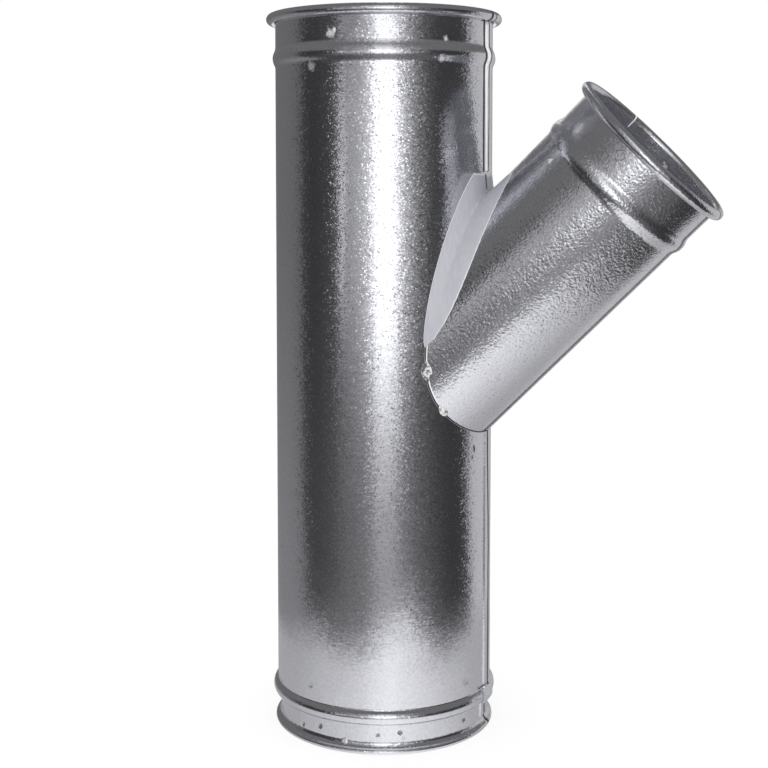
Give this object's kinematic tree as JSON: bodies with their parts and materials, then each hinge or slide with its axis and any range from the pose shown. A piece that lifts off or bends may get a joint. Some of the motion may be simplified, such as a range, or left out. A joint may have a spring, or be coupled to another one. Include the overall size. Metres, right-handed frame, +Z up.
{
  "type": "duct branch",
  "caption": "Straight round sheet-metal duct with a smaller branch leaving it at 45 degrees, beaded collars with rolled lips, and a grooved foot with a stop bead.",
  "frame": {"origin": "centre of the foot's rolled rim, on the plane that it stands on", "axes": "+Z up along the main tube's axis, +X towards the side that the branch leaves on"},
  "size_m": [0.333, 0.1732, 0.525],
  "materials": {
    "galvanised_sheet": "zinc coating with a fine spangle, satin",
    "weld_metal": "rough bright blobs",
    "sealant": "matt grey, brushed on"
  },
  "bodies": {
    "root": {"main_tube": "galvanised_sheet", "branch_tube": "galvanised_sheet", "tack_welds": "weld_metal", "crotch_sealant": "sealant", "bead_sealant": "sealant"}
  },
  "joints": []
}
